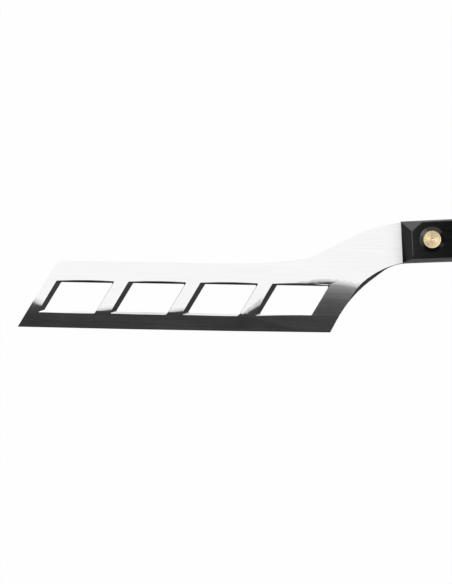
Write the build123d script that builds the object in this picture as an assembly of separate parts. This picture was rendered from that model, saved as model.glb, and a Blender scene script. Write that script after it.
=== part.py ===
from build123d import *
import math
import os

# Foie gras knife lying on its side: a long blade pierced by four slanted windows, cranked
# up to a full tang between two black handle scales that three pairs of rivet halves clamp.
# X runs from the tip to the butt, Y from the cutting edge to the spine, Z is up. Lengths
# are in millimetres, angles in degrees. Everything is drawn with the heel of the cutting
# edge at x = 0, y = 0 and the middle plane of the steel at z = 0, and moved at the end.

# cutting edge and tip
edge_length = 160.0
edge_bow = 0.25             # how far the cutting edge bows out halfway
slant = 60.0                # of the tip end and of the window sides
tip_radius = 7.0            # corner between the tip end and the spine

# spine, from the tip towards the handle: level, a gentle rise, a steep rise, the handle
spine_height = 34.4
gentle_start = 36.7         # before the heel
gentle_angle = 7.2
gentle_radius = 285.0
steep_start = 11.9          # before the heel
steep_angle = 27.3
steep_radius = 36.0
steep_end = 19.6            # behind the heel
crown_radius = 51.0         # where the steep rise turns over into the handle

# underside of the neck, from the heel up to the handle
heel_corner = 0.8           # radius of the corner at the end of the cutting edge
heel_angle = 62.7
heel_run = 21.1             # length along the first direction
heel_radius = 64.0          # the long hollow curve
neck_angle = 38.0
neck_run = 27.8
neck_radius = 21.0
neck_band_width = 1.8       # widest part of the crescent ground along this edge
neck_band_angle = 25.0      # of the crescent, down from the face
neck_band_start = 9.5       # along the edge from the heel
neck_band_end = 49.0

# thickness of the steel
tang_thickness = 3.0
tip_thickness = 1.7         # the blade thins evenly towards the tip
parallel_ahead = 5.0        # the tang's parallel faces begin this far ahead of the handle
bevel_top = 8.15            # height above the edge where the ground bevel begins
bevel_blend = 0.8           # half the width of the rounding at the top of the bevel
edge_overrun = 1.0          # the two bevels would meet this far below the edge

# shallow cone ground into both faces round the heel, with a circular upper limit
grind_below = 35.0          # its centre, below the heel
grind_radius = 61.8
grind_blend = 2.5           # half the width of the rounding at its upper limit
grind_lip = 0.3             # angle at which the rounding leaves the face
grind_depth = 1.25          # at the end of the cutting edge

# windows
window_count = 4
window_width = 26.6         # along the blade
window_bottom = 8.6
window_top = 23.35
window_climb = 0.15         # each top is this much higher than the one before it
window_radius = 0.6         # corners of the opening
tip_margin = 8.3            # from the slanted tip end to the first opening, along the blade
heel_margin = 14.7          # from the last opening's slanted side to the heel, along the blade

# rims sunk into both faces round each window
rim_left = 2.6              # width at right angles to the slanted side, on the tip side
rim_right = 0.2             # the same on the side towards the handle
rim_top = 0.7               # straight margin above the opening
rim_top_bow = 0.4           # crescent added to it
rim_bottom = 1.3            # straight margin below the opening
rim_bottom_bow = 0.12       # crescent added to it
rim_radius = 0.35           # corners of the rim's outer outline
rim_sweep = 3.5             # radius of its lower corner towards the handle
rim_depth_share = 0.26      # depth as a share of the local thickness
rim_overrun = 1.25          # the slopes run on past the face, to this share of their depth

# handle
handle_length = 125.0
front_height = 21.2
butt_height = 23.0
butt_radius = 9.0
handle_x = 35.85            # middle of the handle's front end
handle_y = 46.9
handle_angle = 3.4
handle_thickness = 17.0
wall_lean = 1.3             # how far the walls of a scale come in on the way up
facet_length = 4.8          # sloping facet at the front end of each scale
facet_foot = 1.2            # upright step between the steel and the facet
facet_round = 1.5           # rounding where the facet meets the flat
spine_joint = 1.8           # behind the front end, where the spine meets the scale's top line
neck_joint = 24.0           # behind the front end, where the neck's underside runs in

# rivets, named from the front end of the handle
rivet_names = ["front", "middle", "rear"]
first_rivet = 15.1          # behind the front end
last_rivet = 20.0           # ahead of the butt
rivet_rise = 0.25           # above the handle's middle line
head_diameter = 9.2
head_thickness = 2.3
tube_diameter = 6.0
pin_diameter = 3.8
pin_gap = 0.4               # left at the end of the pin and at the end of the tube
dimple_diameter = 0.9       # mark of the turning centre on each head
dimple_depth = 0.25

tang_half = tang_thickness / 2
tip_half = tip_thickness / 2
taper = (tang_half - tip_half) / (edge_length + handle_x - parallel_ahead)
window_pitch = (edge_length - tip_margin - heel_margin - window_width) / (window_count - 1)
handle_half = handle_thickness / 2
handle_frame = Plane(
    origin=(handle_x, handle_y, 0),
    x_dir=(math.cos(math.radians(handle_angle)), math.sin(math.radians(handle_angle)), 0),
)


def step(start, angle, run):
    """the point a given run away from start in the given direction"""
    turn = math.radians(angle)
    return (start[0] + run * math.cos(turn), start[1] + run * math.sin(turn))


def handle_point(back, side):
    """a point on the long lines of the handle: side is 1 for the top line, -1 for the bottom"""
    height = front_height + (butt_height - front_height) * back / handle_length
    place = handle_frame.from_local_coords((back, side * height / 2, 0))
    return (place.X, place.Y)


def slanted(x, y):
    """x at height y of a slanted line that passes height zero at x"""
    return x + y / math.tan(math.radians(slant))


def half_thickness(x):
    """half the thickness of the steel at x, on the part that thins towards the tip"""
    return tip_half + taper * (edge_length + x)


def neck_corners():
    """corners of the neck's underside before they are rounded: heel, hollow, throat"""
    heel = (0, 0)
    hollow = step(heel, heel_angle, heel_run)
    throat = step(hollow, neck_angle, neck_run)
    return heel, hollow, throat


def steel_outline():
    """outline of the blade, neck and tang in one closed run"""
    tip = (-edge_length, 0)
    gentle = (-gentle_start, spine_height)
    gentle_rise = (gentle_start - steep_start) * math.tan(math.radians(gentle_angle))
    steep = (-steep_start, spine_height + gentle_rise)
    steep_rise = (steep_end + steep_start) * math.tan(math.radians(steep_angle))
    crown = (steep_end, steep[1] + steep_rise)
    heel, hollow, throat = neck_corners()
    corners = [
        tip,
        (slanted(-edge_length, spine_height), spine_height),
        gentle,
        steep,
        crown,
        handle_point(spine_joint, 1),
        handle_point(handle_length, 1),
        handle_point(handle_length, -1),
        handle_point(neck_joint, -1),
        throat,
        hollow,
        heel,
    ]
    radii = [
        tip_radius,
        gentle_radius,
        steep_radius,
        crown_radius,
        0,
        butt_radius,
        butt_radius,
        0,
        neck_radius,
        heel_radius,
    ]
    with BuildSketch() as outline:
        with BuildLine():
            FilletPolyline(*corners, radius=radii)
            ThreePointArc(heel, (-edge_length / 2, -edge_bow), tip)
        make_face()
        fillet(outline.vertices().sort_by_distance(heel)[0], heel_corner)
    return outline.sketch


def steel_section(x):
    """upright section across the steel: two bevels at the bottom, parallel faces above"""
    half = half_thickness(x)
    above = handle_y + handle_length
    bevel_angle = math.atan2(half, bevel_top + edge_overrun)
    blend_radius = bevel_blend / math.tan(bevel_angle / 2)
    with BuildSketch(Plane(origin=(x, 0, 0), x_dir=(0, 1, 0), z_dir=(1, 0, 0))) as section:
        with BuildLine():
            FilletPolyline(
                (above, half),
                (bevel_top, half),
                (-edge_overrun, 0),
                (bevel_top, -half),
                (above, -half),
                radius=[blend_radius, 0, blend_radius],
            )
            Line((above, -half), (above, half))
        make_face()
    return section.sketch


def steel_blank():
    """ground bar before the outline is cut: thinning towards the tip, parallel in the handle"""
    thick_end = steel_section(handle_x - parallel_ahead)
    thin_end = steel_section(-edge_length - parallel_ahead)
    return loft([thin_end, thick_end], ruled=True) + extrude(thick_end, handle_length + 2 * parallel_ahead)


def window_outline(left, right, bottom, top, bottom_bow, top_bow, radius, sweep):
    """slanted outline whose long sides may bow outwards; sweep rounds its lower right corner"""
    lower_left = (slanted(left, bottom), bottom)
    lower_right = (slanted(right, bottom), bottom)
    upper_right = (slanted(right, top), top)
    upper_left = (slanted(left, top), top)
    middle = (left + right) / 2
    with BuildSketch() as outline:
        with BuildLine():
            if bottom_bow:
                ThreePointArc(lower_left, (slanted(middle, bottom), bottom - bottom_bow), lower_right)
            else:
                Line(lower_left, lower_right)
            Line(lower_right, upper_right)
            if top_bow:
                ThreePointArc(upper_right, (slanted(middle, top), top + top_bow), upper_left)
            else:
                Line(upper_right, upper_left)
            Line(upper_left, lower_left)
        make_face()
        corners = outline.vertices().sort_by_distance(lower_right)
        fillet(corners[1:], radius)
        fillet(outline.vertices().sort_by_distance(lower_right)[0], sweep)
    return outline.sketch


def window_cutter(number):
    """one window with the rims sunk into both faces, counted from the tip"""
    across = rim_overrun / math.sin(math.radians(slant))
    left = -edge_length + tip_margin + number * window_pitch
    right = left + window_width
    top = window_top + number * window_climb
    opening = window_outline(left, right, window_bottom, top, 0, 0, window_radius, window_radius)
    outer = window_outline(
        left - rim_left * across,
        right + rim_right * across,
        window_bottom - rim_bottom * rim_overrun,
        top + rim_top * rim_overrun,
        rim_bottom_bow * rim_overrun,
        rim_top_bow * rim_overrun,
        rim_radius,
        rim_sweep,
    )
    middle = slanted((left + right) / 2, (window_bottom + top) / 2)
    half = half_thickness(middle)
    depth = 2 * half * rim_depth_share
    floor = half - depth
    rim = loft([Pos(0, 0, floor) * opening, Pos(0, 0, floor + depth * rim_overrun) * outer], ruled=True)
    through = extrude(opening, tang_thickness, both=True)
    return through + rim + mirror(rim, about=Plane.XY)


def heel_grind_cutter():
    """ring with a conical underside that thins the upper face round the heel"""
    centre = Plane(origin=(0, -grind_below, half_thickness(0)), z_dir=(-taper, 0, 1))
    inner = grind_below - edge_overrun
    outer = grind_radius + 2 * grind_blend
    lip = math.radians(grind_lip)
    slope = math.atan2(grind_depth, grind_radius - inner)
    rise = (outer - grind_radius) * math.tan(lip)
    with BuildSketch(Plane.XZ) as profile:
        with BuildLine():
            FilletPolyline(
                (outer, rise),
                (grind_radius, 0),
                (inner, -grind_depth),
                radius=grind_blend / math.tan((slope - lip) / 2),
            )
            Polyline(
                (inner, -grind_depth),
                (inner, tang_thickness),
                (outer, tang_thickness),
                (outer, rise),
            )
        make_face()
    return centre * revolve(profile.sketch, Axis.Z)


def neck_band_cutter():
    """cone whose side grinds a crescent along the neck's hollow edge on the upper face"""
    edge = FilletPolyline(*neck_corners(), handle_point(neck_joint, -1), radius=[heel_radius, neck_radius])
    start = edge.position_at(neck_band_start, position_mode=PositionMode.LENGTH)
    end = edge.position_at(neck_band_end, position_mode=PositionMode.LENGTH)
    halfway = (neck_band_start + neck_band_end) / 2
    middle = edge.position_at(halfway, position_mode=PositionMode.LENGTH)
    along = edge.tangent_at(halfway, position_mode=PositionMode.LENGTH)
    inward = Vector(-along.Y, along.X, 0)
    arc = ThreePointArc(start, middle + inward * neck_band_width, end)
    reach = tang_thickness / 2
    spread = reach / math.tan(math.radians(neck_band_angle))
    cone = Cone(arc.radius - spread, arc.radius + spread, 2 * reach)
    centre = arc.arc_center
    return cone.moved(Location((centre.X, centre.Y, half_thickness(middle.X))))


def rivet_places():
    """distances of the rivets behind the handle's front end"""
    pitch = (handle_length - first_rivet - last_rivet) / (len(rivet_names) - 1)
    return [first_rivet + number * pitch for number in range(len(rivet_names))]


def upright(diameter, low, high, back):
    """upright cylinder from z = low to z = high on the line of the rivets"""
    cylinder = Cylinder(diameter / 2, high - low)
    return handle_frame * Pos(back, rivet_rise, (low + high) / 2) * cylinder


def steel():
    """blade, neck and tang: one piece of steel"""
    shape = steel_blank() & extrude(steel_outline(), tang_thickness, both=True)
    for number in range(window_count):
        shape -= window_cutter(number)
    for grind in (heel_grind_cutter(), neck_band_cutter()):
        shape -= grind
        shape -= mirror(grind, about=Plane.XY)
    for back in rivet_places():
        shape -= upright(tube_diameter, -tang_thickness, tang_thickness, back)
    return shape


def handle_outline():
    """outline of one scale seen from its flat side"""
    corners = [
        handle_point(0, -1),
        handle_point(handle_length, -1),
        handle_point(handle_length, 1),
        handle_point(0, 1),
    ]
    with BuildSketch() as outline:
        with BuildLine():
            FilletPolyline(*corners, radius=[0, butt_radius, butt_radius, 0], close=True)
        make_face()
    return outline.sketch


def front_facet_cutter():
    """wedge that slopes the front end of the upper scale down to the steel"""
    low = tang_half + facet_foot
    rise = (handle_half - low) / facet_length
    side = front_height
    with BuildSketch(Plane(origin=(0, side, 0), x_dir=(1, 0, 0), z_dir=(0, -1, 0))) as wedge:
        with BuildLine():
            Polyline(
                (-facet_length, low - rise * facet_length),
                (2 * facet_length, low + 2 * rise * facet_length),
                (-facet_length, low + 2 * rise * facet_length),
                close=True,
            )
        make_face()
    return handle_frame * extrude(wedge.sketch, 2 * side)


def upper_scale():
    """handle scale on the upper face of the tang, with seats for the rivet heads"""
    low = tang_half + facet_foot
    lean = math.degrees(math.atan2(wall_lean, handle_half - low))
    foot = extrude(Pos(0, 0, tang_half) * handle_outline(), facet_foot)
    walls = extrude(Pos(0, 0, low) * handle_outline(), handle_half - low, taper=lean)
    shape = foot + walls - front_facet_cutter()
    flat = shape.faces().sort_by(Axis.Z)[-1]
    crest = flat.edges().sort_by(Axis(handle_frame.origin, handle_frame.x_dir))[0]
    shape = fillet(crest, facet_round)
    for back in rivet_places():
        shape -= upright(tube_diameter, 0, handle_thickness, back)
        shape -= upright(head_diameter, handle_half - head_thickness, handle_thickness, back)
    return shape


def head(back):
    """rivet head let into the upper scale, dimpled in the middle of its turned face"""
    disc = upright(head_diameter, handle_half - head_thickness, handle_half, back)
    point = Cone(0, dimple_diameter / 2, dimple_depth)
    return disc - handle_frame * Pos(back, rivet_rise, handle_half - dimple_depth / 2) * point


def rivet_pin(back):
    """upper half of a rivet: a head and a solid pin"""
    seat = handle_half - head_thickness
    return head(back) + upright(pin_diameter, -seat + pin_gap, seat, back)


def rivet_tube(back):
    """lower half of a rivet: a head and the tube that takes the pin"""
    seat = handle_half - head_thickness
    lower_head = mirror(head(back), about=Plane.XY)
    tube = upright(tube_diameter, -seat, seat - pin_gap, back)
    return lower_head + tube - upright(pin_diameter, -seat, seat, back)


upper = upper_scale()
pieces = {
    "blade": steel(),
    "upper_scale": upper,
    "lower_scale": mirror(upper, about=Plane.XY),
}
for rivet, back in zip(rivet_names, rivet_places()):
    pieces[rivet + "_rivet_pin"] = rivet_pin(back)
    pieces[rivet + "_rivet_tube"] = rivet_tube(back)

# the origin goes under the middle of the knife's bounding box, on the ground it lies on
box = Compound(list(pieces.values())).bounding_box()
shift = Location((-box.center().X, -box.center().Y, -box.min.Z))
os.makedirs("parts", exist_ok=True)
for name, shape in pieces.items():
    export_step(shape.moved(shift), "parts/" + name + ".step")
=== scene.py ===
import math

import bpy
from mathutils import Matrix, Vector


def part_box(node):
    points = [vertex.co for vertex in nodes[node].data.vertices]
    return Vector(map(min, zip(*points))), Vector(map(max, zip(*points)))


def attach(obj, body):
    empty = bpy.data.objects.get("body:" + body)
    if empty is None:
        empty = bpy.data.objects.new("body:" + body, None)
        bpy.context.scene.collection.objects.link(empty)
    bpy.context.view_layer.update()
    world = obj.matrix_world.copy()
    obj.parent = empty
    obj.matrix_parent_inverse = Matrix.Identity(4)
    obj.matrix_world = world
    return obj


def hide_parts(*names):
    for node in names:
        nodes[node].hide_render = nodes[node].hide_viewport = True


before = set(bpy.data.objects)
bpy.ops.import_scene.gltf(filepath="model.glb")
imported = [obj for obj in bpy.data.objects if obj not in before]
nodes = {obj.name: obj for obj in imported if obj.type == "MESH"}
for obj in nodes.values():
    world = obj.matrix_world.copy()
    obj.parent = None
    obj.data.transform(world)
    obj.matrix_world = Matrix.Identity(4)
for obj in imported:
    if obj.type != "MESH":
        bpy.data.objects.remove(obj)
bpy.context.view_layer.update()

# Foie gras knife lying on its side: windowed blade, two black scales, three pairs of brass rivets.
# Blender works in metres, so sizes are written as so many mm.
mm = 0.001
tiny = 0.01 * mm


# ways of working that every piece shares

def alone(obj):
    bpy.ops.object.select_all(action="DESELECT")
    obj.select_set(True)
    bpy.context.view_layer.objects.active = obj


def settle(obj):  # place, turn and size go into the mesh
    alone(obj)
    bpy.ops.object.transform_apply(location=True, rotation=True, scale=True)


def editOn(obj, what):  # what is VERT, EDGE or FACE
    alone(obj)
    bpy.ops.object.mode_set(mode="EDIT")
    bpy.ops.mesh.select_mode(type=what)
    bpy.ops.mesh.select_all(action="DESELECT")


def editOff():
    bpy.ops.object.mode_set(mode="OBJECT")


def pickVerts(obj, wanted):
    bpy.ops.mesh.select_all(action="DESELECT")
    editOff()
    for vert in obj.data.vertices:
        vert.select = wanted(vert.co)
    bpy.ops.object.mode_set(mode="EDIT")


def pickEdges(obj, wanted):  # wanted is asked about both ends
    bpy.ops.mesh.select_all(action="DESELECT")
    editOff()
    verts = obj.data.vertices
    for edge in obj.data.edges:
        a, b = (verts[i].co for i in edge.vertices)
        edge.select = wanted(a, b)
    bpy.ops.object.mode_set(mode="EDIT")


def pickFaces(obj, wanted):
    bpy.ops.mesh.select_all(action="DESELECT")
    editOff()
    for face in obj.data.polygons:
        face.select = wanted(face.center, face.normal)
    bpy.ops.object.mode_set(mode="EDIT")


def outwards(obj):
    editOn(obj, "FACE")
    bpy.ops.mesh.select_all(action="SELECT")
    bpy.ops.mesh.remove_doubles(threshold=0.1 * tiny)
    bpy.ops.mesh.normals_make_consistent(inside=False)
    editOff()


def softShading(obj, degrees):
    alone(obj)
    bpy.ops.object.shade_smooth_by_angle(angle=math.radians(degrees))
    weighted = obj.modifiers.new("even normals", "WEIGHTED_NORMAL")
    weighted.keep_sharp = True
    bpy.ops.object.modifier_apply(modifier=weighted.name)


def cutWith(obj, tool, how):
    alone(obj)
    cut = obj.modifiers.new("cut", "BOOLEAN")
    cut.operation = how
    cut.solver = "EXACT"
    cut.object = tool
    bpy.ops.object.modifier_apply(modifier=cut.name)
    bpy.data.objects.remove(tool)


def dress(obj, finish):
    obj.data.materials.clear()
    obj.data.materials.append(finish)


# ways of making finishes

def newFinish(name):
    finish = bpy.data.materials.new(name)
    finish.use_nodes = True
    return finish, finish.node_tree, finish.node_tree.nodes["Principled BSDF"]


def addNode(tree, kind, values):
    made = tree.nodes.new(kind)
    for name, value in values.items():
        made.inputs[name].default_value = value
    return made


def grain(tree, stretch, detail, rough):
    place = tree.nodes.new("ShaderNodeTexCoord")
    turn = addNode(tree, "ShaderNodeMapping", {"Scale": stretch})
    noise = addNode(tree, "ShaderNodeTexNoise", {"Scale": 1.0, "Detail": detail, "Roughness": rough})
    tree.links.new(place.outputs["Object"], turn.inputs["Vector"])
    tree.links.new(turn.outputs["Vector"], noise.inputs["Vector"])
    return noise.outputs["Fac"]


def spread(tree, value, low, high, start=0.3, end=0.7):
    mapped = addNode(tree, "ShaderNodeMapRange",
                     {"From Min": start, "From Max": end, "To Min": low, "To Max": high})
    tree.links.new(value, mapped.inputs["Value"])
    return mapped.outputs["Result"]


def tint(tree, value, dark, pale):
    mix = tree.nodes.new("ShaderNodeMix")
    mix.data_type = "RGBA"
    mix.inputs["A"].default_value = (*dark, 1)
    mix.inputs["B"].default_value = (*pale, 1)
    tree.links.new(value, mix.inputs["Factor"])
    return mix.outputs["Result"]


def shaded(tree, colour, share):  # the colour, darker below 1 and lighter above it
    scaled = tree.nodes.new("ShaderNodeVectorMath")
    scaled.operation = "SCALE"
    tree.links.new(colour, scaled.inputs[0])
    tree.links.new(share, scaled.inputs["Scale"])
    return scaled.outputs[0]


def calc(tree, how, *values):  # how is ADD, MULTIPLY and so on; values are numbers or sockets
    made = tree.nodes.new("ShaderNodeMath")
    made.operation = how
    for place, value in enumerate(values):
        if isinstance(value, (int, float)):
            made.inputs[place].default_value = value
        else:
            tree.links.new(value, made.inputs[place])
    return made.outputs[0]


def blendOf(tree, value, low, high):  # low where value is 0, high where it is 1
    mix = tree.nodes.new("ShaderNodeMix")
    tree.links.new(value, mix.inputs["Factor"])
    tree.links.new(low, mix.inputs["A"])
    tree.links.new(high, mix.inputs["B"])
    return mix.outputs["Result"]


def relief(tree, shader, layers):  # layers of (height, depth)
    below = None
    for height, depth in layers:
        bump = addNode(tree, "ShaderNodeBump", {"Distance": depth})
        tree.links.new(height, bump.inputs["Height"])
        if below:
            tree.links.new(below, bump.inputs["Normal"])
        below = bump.outputs["Normal"]
    tree.links.new(below, shader.inputs["Normal"])


# camera: straight down on the knife, from a little towards the cutting edge
view = {
    "target": (-54.10 * mm, -12.695 * mm, 8.5 * mm),
    "distance": 1.2,
    "lean": 4.3,             # degrees towards the cutting edge
    "roll": -1.065,          # the edge runs down to the right by this
    "sensor": 36,
    "imageWidth": 452,
    "pixel": 0.51257 * mm,   # size of one pixel at the blade
}


def addCamera():
    roll = math.radians(view["roll"])
    lean = math.radians(view["lean"])
    right = Vector((math.cos(roll), -math.sin(roll), 0))
    up = Vector((math.sin(roll), math.cos(roll), 0))
    back = Vector((0, 0, 1)) * math.cos(lean) - up * math.sin(lean)
    bpy.ops.object.camera_add()
    camera = bpy.context.object
    camera.name = "camera"
    camera.data.sensor_fit = "HORIZONTAL"
    camera.data.sensor_width = view["sensor"]
    camera.data.lens = view["sensor"] * view["distance"] / (view["imageWidth"] * view["pixel"])
    place = Vector(view["target"]) + back * view["distance"]
    turn = Matrix((right, back.cross(right), back)).transposed().to_4x4()
    camera.matrix_world = Matrix.Translation(place) @ turn
    bpy.context.scene.camera = camera


addCamera()
print("camera set")

# blade: ground steel, mirror-polished on the flats, with a satin bevel along the edge
blade = {
    "crease": 5,                     # degrees; anything gentler is shaded as one surface
    "flatRough": (0.045, 0.065),
    "bevelRough": (0.07, 0.10),
    "bevelLine": -24.3 * mm,         # y of the top of the bevel
    "lineWidth": 0.8 * mm,
    "dull": (0.89, 0.89, 0.895),
    "bright": (0.96, 0.96, 0.965),
    # the polishing wheel has rolled off the foot of each bar, more so towards the next window
    "rollLean": 0.07,                # slope of the rolled part
    "bevelLean": 0.06,               # the same for the hollow of the bevel below it
    "rollLow": -24.3 * mm,           # y where it begins on the left of a bar
    "rollRise": 1.3 * mm,            # how much higher it reaches on the right
    "rollSoft": 3.0 * mm,            # how gently it starts
    "barStart": -120.1 * mm,         # x of the left of the second bar's foot
    "barWidth": 7.2 * mm,
    "barPitch": 36.8 * mm,
    # lines that end the rolling are given by their y and x somewhere and their slope
    "tipRoll": (-20.4 * mm, -149.7 * mm, -0.6),    # left of the first window
    "tipLean": 0.05,
    "tipSoft": 5 * mm,
    "rollEnd": (-24.05 * mm, -60 * mm, -0.14),     # right of the second bar
    "lastBar": ((-25.9 * mm, -46.4 * mm, 0.62), (-18 * mm, -34 * mm, -0.5)),   # both sides of the third bar
    "lastLean": 0.035,
    # a narrow band over the last window is rolled off too, tapering out at both ends
    "brow": (-7.1 * mm, -22 * mm, 0.03),
    "browEnds": ((0, -24 * mm, 0.35), (0, 2.5 * mm, -0.4)),
    "browWidth": 2.1 * mm,
    "browSoft": 1.8 * mm,
    "browLean": 0.024,
    "streaks": (5, 1500, 900),       # long along the blade, fine across it
    "scratches": (30, 5200, 2600),
    "waves": (22, 34, 20),           # the gentle unevenness of hand polishing
    "wheelMarks": (30, 1000, 700),   # streaks on the bevel, the rims and the hollow at the heel
    "marksFrom": (0.9985, 0.9998),   # height of the normal where they are full and where they end
    "markShades": (0.80, 1.15),
    "patches": (30, 90, 60),
    "patchShades": (0.82, 1.12),
    "streakDepth": 0.00015 * mm,
    "scratchDepth": 0.00005 * mm,
    "waveDepth": 0.03 * mm,
}


def bladeSteel():
    finish, tree, shader = newFinish("ground steel")
    shader.inputs["Metallic"].default_value = 1
    streaks = grain(tree, blade["streaks"], 6, 0.6)
    scratches = grain(tree, blade["scratches"], 3, 0.5)
    waves = grain(tree, blade["waves"], 1, 0.4)
    place = tree.nodes.new("ShaderNodeTexCoord")
    axes = tree.nodes.new("ShaderNodeSeparateXYZ")
    tree.links.new(place.outputs["Object"], axes.inputs[0])
    half = blade["lineWidth"] / 2
    onBevel = spread(tree, axes.outputs["Y"], 1, 0, blade["bevelLine"] - half, blade["bevelLine"] + half)
    flat = spread(tree, streaks, *blade["flatRough"])
    bevel = spread(tree, streaks, *blade["bevelRough"])
    tree.links.new(blendOf(tree, onBevel, flat, bevel), shader.inputs["Roughness"])
    sparkle = tint(tree, spread(tree, scratches, 0, 1), blade["dull"], blade["bright"])
    tree.links.new(shaded(tree, sparkle, grindMarks(tree, place)), shader.inputs["Base Color"])
    relief(tree, shader, ((rolledFeet(tree, axes), 1), (waves, blade["waveDepth"]),
                          (streaks, blade["streakDepth"]), (scratches, blade["scratchDepth"])))
    return finish


def grindMarks(tree, place):  # 1 on the flats, streaky on every face that leans
    normal = tree.nodes.new("ShaderNodeSeparateXYZ")
    tree.links.new(place.outputs["Normal"], normal.inputs[0])
    leaning = spread(tree, calc(tree, "ABSOLUTE", normal.outputs["Z"]), 1, 0, *blade["marksFrom"])
    fine = spread(tree, grain(tree, blade["wheelMarks"], 5, 0.6), *blade["markShades"])
    broad = spread(tree, grain(tree, blade["patches"], 2, 0.5), *blade["patchShades"])
    marks = calc(tree, "SUBTRACT", calc(tree, "MULTIPLY", fine, broad), 1)
    return calc(tree, "MULTIPLY_ADD", marks, leaning, 1)


def along(tree, x, side):  # a straight line given by its y and x somewhere and its slope
    height, start, slope = side
    return calc(tree, "MULTIPLY_ADD", calc(tree, "SUBTRACT", x, start), slope, height)


def rolledFeet(tree, axes):  # height of the steel below its flat, in metres
    x, y = axes.outputs["X"], axes.outputs["Y"]
    farLeft = blade["barStart"] - 4 * blade["barPitch"]
    turns = calc(tree, "FRACT", calc(tree, "DIVIDE", calc(tree, "SUBTRACT", x, farLeft), blade["barPitch"]))
    width = blade["barWidth"] / blade["barPitch"]
    up = spread(tree, turns, 0, blade["rollRise"], 0, width)
    down = spread(tree, turns, blade["rollRise"], 0, width, 1)
    bars = calc(tree, "ADD", calc(tree, "MINIMUM", up, down), blade["rollLow"])
    bars = calc(tree, "MINIMUM", bars, along(tree, x, blade["rollEnd"]))
    last = calc(tree, "MINIMUM", *(along(tree, x, side) for side in blade["lastBar"]))
    tip = along(tree, x, blade["tipRoll"])
    wide = calc(tree, "MINIMUM", *(along(tree, x, end) for end in blade["browEnds"]))
    band = calc(tree, "ADD", y, calc(tree, "MINIMUM", wide, blade["browWidth"]))
    brow = calc(tree, "MINIMUM", along(tree, x, blade["brow"]), band)
    level = calc(tree, "MAXIMUM", y, blade["bevelLine"])
    hollow = calc(tree, "MAXIMUM", calc(tree, "SUBTRACT", blade["bevelLine"], y), 0)
    height = calc(tree, "MULTIPLY", hollow, -blade["bevelLean"])
    for line, lean, soft in ((bars, blade["rollLean"], blade["rollSoft"]),
                             (tip, blade["tipLean"], blade["tipSoft"]),
                             (last, blade["lastLean"], blade["rollSoft"]),
                             (brow, blade["browLean"], blade["browSoft"])):
        rolled = calc(tree, "SMOOTH_MAX", calc(tree, "SUBTRACT", line, level), 0, soft)
        height = calc(tree, "MULTIPLY_ADD", rolled, -lean, height)
    return height


def makeBlade():
    obj = bpy.data.objects.new("windowedBlade", nodes["blade"].data.copy())
    bpy.context.scene.collection.objects.link(obj)
    alone(obj)
    bpy.ops.mesh.customdata_custom_splitnormals_clear()
    editOn(obj, "VERT")
    bpy.ops.mesh.select_all(action="SELECT")
    bpy.ops.mesh.remove_doubles(threshold=0.1 * tiny)
    editOff()
    softShading(obj, blade["crease"])
    dress(obj, bladeSteel())
    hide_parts("blade")
    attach(obj, "root")


makeBlade()
print("blade done")

# scales: two black plastic slabs with leaning walls, a sloping front and a collar round each rivet
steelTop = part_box("upper_scale")[0][2]
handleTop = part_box("upper_scale")[1][2]
scale = {
    "front": (35.455 * mm, 14.420 * mm),   # middle of the front end
    "angle": 3.4,                          # degrees, rising towards the butt
    "length": 125 * mm,
    "frontHeight": 21.2 * mm,
    "buttHeight": 23 * mm,
    "buttRadius": 9 * mm,
    "foot": 1.2 * mm,                      # upright step above the steel
    "wallLean": 1.3 * mm,                  # how far the walls come in on the way up
    "facet": 4.8 * mm,                     # length of the sloping front
    "cornerDown": 4.5 * mm,                # polished-off front corner, along the front crest
    "cornerAlong": 6.0 * mm,               # and along the top edge
    "cornerOver": 0.2 * mm,                # outside the flat's rim there
    "softEdge": 0.9 * mm,
    "collarRise": 0.18 * mm,
    "collarWidth": 1.9 * mm,
    "crease": 32,
    "black": (0.0030, 0.0030, 0.0034),
    "worn": (0.0060, 0.0060, 0.0064),
    "gloss": 1.56,                         # index of refraction
    "rough": (0.07, 0.12),
    "speckle": (900, 900, 900),
    "rubbing": (60, 1400, 700),
    "speckleDepth": 0.002 * mm,
    "rubbingDepth": 0.001 * mm,
}
rivet = {
    "first": 15.1 * mm,          # behind the front end
    "last": 20.0 * mm,           # ahead of the butt
    "rise": 0.25 * mm,           # above the middle line
    "headRadius": 4.6 * mm,
    "headThickness": 2.3 * mm,
    "tubeRadius": 3.0 * mm,
    "pinRadius": 1.9 * mm,
    "gap": 0.4 * mm,
    "edge": 0.12 * mm,           # broken edge of the head
    "dimpleRadius": 0.45 * mm,
    "dimpleDepth": 0.25 * mm,
    "dimplePoint": 0.05,         # share of its radius that stays at the bottom
    "pinPoint": 0.9,             # share of the pin's radius at its end
    "rings": 9,                  # turned grooves on the face
    "ringDepth": 0.012 * mm,
    "ringWidth": 0.24,           # share of their pitch
    "seatGap": 0.03 * mm,
    "sides": 96,
    "names": ("front", "middle", "rear"),
}


def rivetPlaces():  # distances behind the front end
    run = scale["length"] - rivet["first"] - rivet["last"]
    last = len(rivet["names"]) - 1
    return [rivet["first"] + run * number / last for number in range(last + 1)]


def rivetMiddle(back):  # its x and y in the scene
    turn = math.radians(scale["angle"])
    frontX, frontY = scale["front"]
    return (frontX + back * math.cos(turn) - rivet["rise"] * math.sin(turn),
            frontY + back * math.sin(turn) + rivet["rise"] * math.cos(turn))


def toHandle(obj):  # from the drawing place at the origin to the handle
    obj.location = (*scale["front"], 0)
    obj.rotation_euler = (0, 0, math.radians(scale["angle"]))
    settle(obj)


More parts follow.
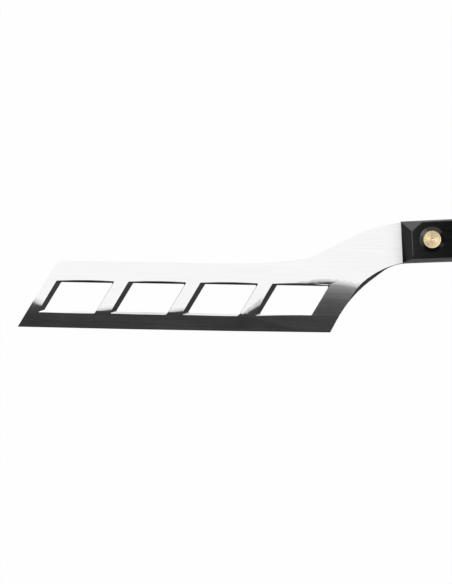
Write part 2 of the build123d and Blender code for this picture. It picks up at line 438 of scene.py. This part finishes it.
def blackPlastic():
    finish, tree, shader = newFinish("black plastic")
    speckle = grain(tree, scale["speckle"], 4, 0.6)
    rubbing = grain(tree, scale["rubbing"], 3, 0.6)
    shader.inputs["IOR"].default_value = scale["gloss"]
    shade = tint(tree, spread(tree, speckle, 0, 1), scale["black"], scale["worn"])
    tree.links.new(shade, shader.inputs["Base Color"])
    tree.links.new(spread(tree, rubbing, *scale["rough"]), shader.inputs["Roughness"])
    relief(tree, shader, ((speckle, scale["speckleDepth"]), (rubbing, scale["rubbingDepth"])))
    return finish


def scaleBlock(flat):  # one slab drawn from the steel up to the flat, along x from the front end
    length, butt, foot = scale["length"], scale["buttHeight"], scale["foot"]
    crest = flat - steelTop - foot
    bpy.ops.object.select_all(action="DESELECT")
    bpy.ops.mesh.primitive_cube_add(size=1, location=(length / 2, 0, steelTop + foot / 2),
                                    scale=(length, butt, foot))
    slab = bpy.context.object
    settle(slab)
    editOn(slab, "VERT")
    pickVerts(slab, lambda v: v.x < tiny)
    bpy.ops.transform.resize(value=(1, scale["frontHeight"] / butt, 1), center_override=(0, 0, 0))
    bpy.ops.mesh.select_mode(type="EDGE")
    pickEdges(slab, lambda a, b: min(a.x, b.x) > length - tiny and abs(a.z - b.z) > tiny)
    bpy.ops.mesh.bevel(offset=scale["buttRadius"], segments=16, profile=0.5, affect="EDGES")
    bpy.ops.mesh.select_mode(type="FACE")
    pickFaces(slab, lambda centre, normal: normal.z > 0.9)
    bpy.ops.mesh.inset(thickness=scale["wallLean"], depth=crest)
    # sloping front
    bpy.ops.mesh.select_all(action="SELECT")
    bpy.ops.mesh.bisect(plane_co=(0, 0, steelTop + foot - 2 * tiny), plane_no=(-crest, 0, scale["facet"]),
                        use_fill=True, clear_outer=True, threshold=0.1 * tiny)
    # polished-off corner: a plane from just inside the foot corner to two points level with the flat
    low = Vector((15 * tiny, scale["frontHeight"] / 2 - 15 * tiny, steelTop + foot))
    rim = scale["frontHeight"] / 2 - scale["wallLean"]
    onCrest = Vector((scale["facet"], rim - scale["cornerDown"], flat))
    onRim = Vector((scale["facet"] + scale["cornerAlong"], rim + scale["cornerOver"], flat))
    away = (onCrest - low).cross(onRim - low).normalized()
    bpy.ops.mesh.select_all(action="SELECT")
    bpy.ops.mesh.bisect(plane_co=low, plane_no=away, use_fill=True, clear_outer=True, threshold=0.1 * tiny)
    # two cuts lengthwise, so that the rounded ends don't pull the shading of the front crest along
    for side in (-1, 1):
        bpy.ops.mesh.select_all(action="SELECT")
        bpy.ops.mesh.bisect(plane_co=(0, side * (rim - 2 * scale["softEdge"]), 0), plane_no=(0, 1, 0),
                            threshold=0.1 * tiny)
    # round the rim of the flat
    bpy.ops.mesh.select_mode(type="EDGE")
    pickEdges(slab, lambda a, b: min(a.z, b.z) > flat - tiny)
    bpy.ops.mesh.bevel(offset=scale["softEdge"], segments=5, profile=0.5, affect="EDGES",
                       clamp_overlap=True)
    editOff()
    return slab


def disc(radiusLow, radiusHigh, low, high, back):
    bpy.ops.object.select_all(action="DESELECT")
    bpy.ops.mesh.primitive_cone_add(vertices=rivet["sides"], radius1=radiusLow, radius2=radiusHigh,
                                    depth=high - low, location=(back, rivet["rise"], (low + high) / 2))
    settle(bpy.context.object)
    return bpy.context.object


def makeUpperScale():
    flat = handleTop - scale["collarRise"]
    slab = scaleBlock(flat)
    slab.name = "upperScale"
    head = rivet["headRadius"]
    seat = head + rivet["seatGap"]
    seatLow = handleTop - rivet["headThickness"]
    bore = rivet["tubeRadius"]
    for back in rivetPlaces():
        cutWith(slab, disc(head + scale["collarWidth"], head, flat, handleTop, back), "UNION")
        cutWith(slab, disc(seat, seat, seatLow, handleTop + mm, back), "DIFFERENCE")
        cutWith(slab, disc(bore, bore, steelTop - mm, handleTop, back), "DIFFERENCE")
    outwards(slab)
    toHandle(slab)
    softShading(slab, scale["crease"])
    return slab


def mirrored(obj, name):  # the same piece under the steel
    alone(obj)
    bpy.ops.object.duplicate()
    twin = bpy.context.object
    twin.name = name
    twin.scale = (1, 1, -1)
    twin.location = (0, 0, handleTop)
    settle(twin)
    outwards(twin)
    return twin


plastic = blackPlastic()
upperScale = makeUpperScale()
lowerScale = mirrored(upperScale, "lowerScale")
softShading(lowerScale, scale["crease"])
for obj, node in ((upperScale, "upper_scale"), (lowerScale, "lower_scale")):
    dress(obj, plastic)
    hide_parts(node)
    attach(obj, "root")
print("scales done")

# rivets: turned brass, each a head with a pin from above and a head with a tube from below
brass = {
    "deep": (0.92, 0.70, 0.41),
    "pale": (1.0, 0.84, 0.53),
    "rough": (0.26, 0.34),
    "tarnish": (1300, 1300, 1300),
    "tarnishDepth": 0.002 * mm,
    "ringPitch": 0.42 * mm,
    "ringWander": 0.6,
    "ringDepth": 0.016 * mm,
    "crease": 40,
}


def turnedBrass(name, middle):
    finish, tree, shader = newFinish(name)
    shader.inputs["Metallic"].default_value = 1
    place = tree.nodes.new("ShaderNodeTexCoord")
    centre = addNode(tree, "ShaderNodeMapping", {"Location": (-middle[0], -middle[1], 0)})
    closeness = math.pi / 10 / brass["ringPitch"]  # at scale 1 the rings are pi / 10 apart
    rings = addNode(tree, "ShaderNodeTexWave",
                    {"Scale": closeness, "Distortion": brass["ringWander"], "Detail": 2.0})
    rings.wave_type = "RINGS"
    rings.rings_direction = "Z"
    tree.links.new(place.outputs["Object"], centre.inputs["Vector"])
    tree.links.new(centre.outputs["Vector"], rings.inputs["Vector"])
    tarnish = grain(tree, brass["tarnish"], 4, 0.6)
    shade = tint(tree, spread(tree, tarnish, 0, 1), brass["deep"], brass["pale"])
    tree.links.new(shade, shader.inputs["Base Color"])
    tree.links.new(spread(tree, tarnish, *brass["rough"]), shader.inputs["Roughness"])
    relief(tree, shader, ((rings.outputs["Fac"], brass["ringDepth"]), (tarnish, brass["tarnishDepth"])))
    return finish


def turned(name, profile, back):  # circle extruded and resized through (radius, height) steps
    radius, height = profile[0]
    bpy.ops.object.select_all(action="DESELECT")
    bpy.ops.mesh.primitive_circle_add(vertices=rivet["sides"], radius=radius, fill_type="NGON",
                                      location=(back, rivet["rise"], height))
    piece = bpy.context.object
    piece.name = name
    settle(piece)
    editOn(piece, "FACE")
    bpy.ops.mesh.select_all(action="SELECT")
    for nextRadius, nextHeight in profile[1:]:
        bpy.ops.mesh.extrude_region_move(TRANSFORM_OT_translate={"value": (0, 0, nextHeight - height)})
        share = nextRadius / radius
        bpy.ops.transform.resize(value=(share, share, 1), center_override=(back, rivet["rise"], nextHeight))
        radius, height = nextRadius, nextHeight
    bpy.ops.mesh.merge(type="CENTER")
    editOff()
    outwards(piece)
    toHandle(piece)
    softShading(piece, brass["crease"])
    return piece


def facedHead():  # (radius, depth below the face) from the rim of the head to the middle of its face
    outer = rivet["headRadius"] - rivet["edge"]
    inner = rivet["dimpleRadius"]
    head = rivet["headRadius"]
    steps = [(head, rivet["headThickness"]), (head, rivet["edge"]), (outer, 0)]
    pitch = (outer - inner) / (rivet["rings"] + 1)
    half = rivet["ringWidth"] / 2 * pitch
    for number in range(1, rivet["rings"] + 1):
        radius = outer - number * pitch
        steps += [(radius + half, 0), (radius, rivet["ringDepth"]), (radius - half, 0)]
    return steps + [(inner, 0), (rivet["dimplePoint"] * inner, rivet["dimpleDepth"])]


def pinProfile():
    seat = handleTop - rivet["headThickness"]
    low = rivet["headThickness"] + rivet["gap"]
    pin = rivet["pinRadius"]
    face = [(radius, handleTop - depth) for radius, depth in facedHead()]
    return [(rivet["pinPoint"] * pin, low), (pin, low + rivet["edge"]), (pin, seat)] + face


def tubeProfile():
    seat = rivet["headThickness"]
    top = handleTop - seat - rivet["gap"]
    bore, wall = rivet["pinRadius"], rivet["tubeRadius"]
    return [(bore, seat), (bore, top), (wall, top), (wall, seat)] + facedHead()


for name, back in zip(rivet["names"], rivetPlaces()):
    finish = turnedBrass(name + " rivet brass", rivetMiddle(back))
    for half, profile in (("pin", pinProfile()), ("tube", tubeProfile())):
        piece = turned(name + "Rivet" + half.capitalize(), profile, back)
        dress(piece, finish)
        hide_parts(name + "_rivet_" + half)
        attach(piece, "root")
print("rivets done")

# studio: white paper and surroundings, dark cards for the steel to mirror, three soft lamps
studio = {
    "floorSize": 5,
    "paper": (0.86, 0.86, 0.86),
    "fibre": (60, 60, 60),
    "fibreShade": 1.03,            # how much paler the paper is between its fibres
    "paperRough": 0.9,
    "paperGlow": 0.985,            # share of plain white in the floor that the camera sees
    "fill": 0.27,                  # light from all round
    "cardHeight": 1.4,             # of the dark card over the cutting-edge side
    "cardEdge": 0.06,              # y of the card's near edge
    "cardSize": (7, 5),
    "wing": ((0.1405, 0.65), (0.06, 0.34)),    # x and y of the card over the handle
    "greyShade": 0.09,             # of the wing and the screen
    "greySpread": 0.1,
    "screen": (-2.4, 2.2, 1.0),    # x, width and height of the low dark screen beyond the tip
    "cardReach": 4,                # the shades below are spread over this distance
    "cardShades": ((0, 1), (0.046, 0.72), (0.072, 0.52), (0.081, 0.33), (0.0905, 0.33), (0.0922, 0.14),
                   (0.0935, 0.105), (0.11, 0.078), (0.13, 0.054), (0.25, 0.048), (1.16, 0.042),
                   (1.7, 0.014), (2.6, 0.04)),    # distance behind the edge, brightness
    "cloud": 0.3,                  # how much the shades wander
    "clouds": (5, 9, 1),           # how close together
    # lamps by place, size and power
    "lamps": (((-0.17, 0.34, 1.2), (0.38, 0.28), 0.5), ((-0.65, 0.2, 1.2), (0.6, 0.5), 3)),
    "sideLamp": ((-1.9, 2.4, 0.75), (1.2, 1.0), 4),
}


def addFloor():
    bpy.ops.object.select_all(action="DESELECT")
    bpy.ops.mesh.primitive_plane_add(size=studio["floorSize"])
    floor = bpy.context.object
    floor.name = "floor"
    finish, tree, shader = newFinish("white paper")
    fibre = grain(tree, studio["fibre"], 5, 0.6)
    pale = tuple(channel * studio["fibreShade"] for channel in studio["paper"])
    tree.links.new(tint(tree, fibre, studio["paper"], pale), shader.inputs["Base Color"])
    shader.inputs["Roughness"].default_value = studio["paperRough"]
    shader.inputs["Specular IOR Level"].default_value = 0
    glow = addNode(tree, "ShaderNodeEmission", {"Color": (1, 1, 1, 1), "Strength": 1})
    path = tree.nodes.new("ShaderNodeLightPath")
    share = spread(tree, path.outputs["Is Camera Ray"], 0, studio["paperGlow"], 0, 1)
    mix = tree.nodes.new("ShaderNodeMixShader")
    tree.links.new(share, mix.inputs[0])
    tree.links.new(shader.outputs[0], mix.inputs[1])
    tree.links.new(glow.outputs[0], mix.inputs[2])
    tree.links.new(mix.outputs[0], tree.nodes["Material Output"].inputs["Surface"])
    dress(floor, finish)


def newCard(name, place, size, turn=0):  # turn is in degrees, about y
    bpy.ops.object.select_all(action="DESELECT")
    bpy.ops.mesh.primitive_plane_add(size=1, location=place)
    card = bpy.context.object
    card.name = name
    card.scale = (*size, 1)
    card.rotation_euler = (0, math.radians(turn), 0)
    settle(card)
    return card


def hang(card, finish):  # seen only in reflections
    dress(card, finish)
    card.visible_camera = False
    card.visible_diffuse = False
    card.visible_shadow = False


def addDarkCard():
    middle = studio["cardEdge"] - studio["cardSize"][1] / 2
    card = newCard("darkCard", (0, middle, studio["cardHeight"]), studio["cardSize"])
    finish, tree, shader = newFinish("dark card")
    place = tree.nodes.new("ShaderNodeTexCoord")
    axes = tree.nodes.new("ShaderNodeSeparateXYZ")
    shades = tree.nodes.new("ShaderNodeValToRGB")
    glow = tree.nodes.new("ShaderNodeEmission")
    tree.links.new(place.outputs["Object"], axes.inputs[0])
    reach = studio["cardEdge"] - studio["cardReach"]
    behind = spread(tree, axes.outputs["Y"], 1, 0, reach, studio["cardEdge"])
    tree.links.new(behind, shades.inputs["Fac"])
    stops = shades.color_ramp.elements
    stops.remove(stops[1])
    for number, (distance, shade) in enumerate(studio["cardShades"]):
        stop = stops.new(distance / studio["cardReach"]) if number else stops[0]
        stop.color = (shade, shade, shade, 1)
    wander = studio["cloud"] / 2
    cloud = spread(tree, grain(tree, studio["clouds"], 2, 0.5), 1 - wander, 1 + wander)
    tree.links.new(shades.outputs["Color"], glow.inputs["Color"])
    tree.links.new(cloud, glow.inputs["Strength"])
    tree.links.new(glow.outputs[0], tree.nodes["Material Output"].inputs["Surface"])
    hang(card, finish)


def addSurroundings():  # plain white to the eye and in reflections, gentler as light
    world = bpy.data.worlds.new("studio")
    world.use_nodes = True
    bpy.context.scene.world = world
    tree = world.node_tree
    path = tree.nodes.new("ShaderNodeLightPath")
    seen = path.outputs["Is Camera Ray"]
    for kind in ("Is Glossy Ray", "Is Transmission Ray"):
        seen = calc(tree, "MAXIMUM", seen, path.outputs[kind])
    tree.nodes["Background"].inputs["Color"].default_value = (1, 1, 1, 1)
    tree.links.new(spread(tree, seen, studio["fill"], 1, 0, 1), tree.nodes["Background"].inputs["Strength"])


def dressGrey(card):
    finish, tree, shader = newFinish("grey card")
    glow = tree.nodes.new("ShaderNodeEmission")
    cloud = grain(tree, studio["clouds"], 2, 0.5)
    low, high = (studio["greyShade"] * (1 + side * studio["greySpread"]) for side in (-1, 1))
    tree.links.new(spread(tree, cloud, low, high), glow.inputs["Strength"])
    tree.links.new(glow.outputs[0], tree.nodes["Material Output"].inputs["Surface"])
    hang(card, finish)


def addWing():  # the dark card carried on over the handle
    (left, right), (near, far) = studio["wing"]
    middle = ((left + right) / 2, (near + far) / 2, studio["cardHeight"])
    dressGrey(newCard("cardWing", middle, (right - left, far - near)))


def addScreen():
    far, wide, high = studio["screen"]
    dressGrey(newCard("lowScreen", (far, 0, high / 2), (high, wide), 90))


def addLamp(place, size, power, aimed=False):  # straight down, or aimed at the knife
    bpy.ops.object.light_add(type="AREA", location=place)
    if aimed:
        bpy.context.object.rotation_euler = Vector(place).to_track_quat("Z", "Y").to_euler()
    lamp = bpy.context.object.data
    lamp.shape = "RECTANGLE"
    lamp.size, lamp.size_y = size
    lamp.energy = power


addFloor()
addDarkCard()
addWing()
addScreen()
addSurroundings()
for place, size, power in studio["lamps"]:
    addLamp(place, size, power)
addLamp(*studio["sideLamp"], aimed=True)
bpy.context.scene.view_settings.view_transform = "Standard"
print("studio done")
